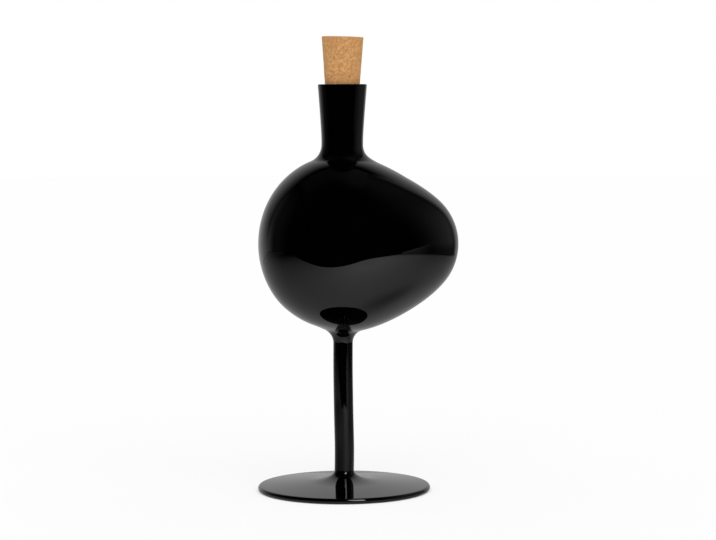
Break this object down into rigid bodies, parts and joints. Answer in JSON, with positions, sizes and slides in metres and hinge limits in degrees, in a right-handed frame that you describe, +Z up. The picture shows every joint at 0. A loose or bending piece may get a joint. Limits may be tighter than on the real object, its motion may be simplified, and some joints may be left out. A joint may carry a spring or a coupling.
{
  "type": "decorative glass bottle",
  "caption": "Black glass bottle on a slim stem and round foot, with a bulb drawn out to one side, a flared neck and a tapered cork stopper that lifts out.",
  "frame": {"origin": "middle of the foot's flat underside, on the surface that the bottle stands on", "axes": "+Z up along the stem and neck, +X towards the drawn-out side of the bulb, -Y the side that the picture shows"},
  "size_m": [0.1335, 0.1142, 0.3001],
  "materials": {
    "black_glass": "opaque black, fire polished",
    "cork": "pressed cork granules, raw"
  },
  "bodies": {
    "bottle": {"foot": "black_glass", "stem": "black_glass", "bulb": "black_glass", "neck": "black_glass"},
    "stopper": {"cork_stopper": "cork"}
  },
  "joints": [
    {"name": "stopper_lift", "type": "slide", "parent": "bottle", "child": "stopper", "axis": [0, 0, 1], "range_m": [0, 0.06]}
  ]
}
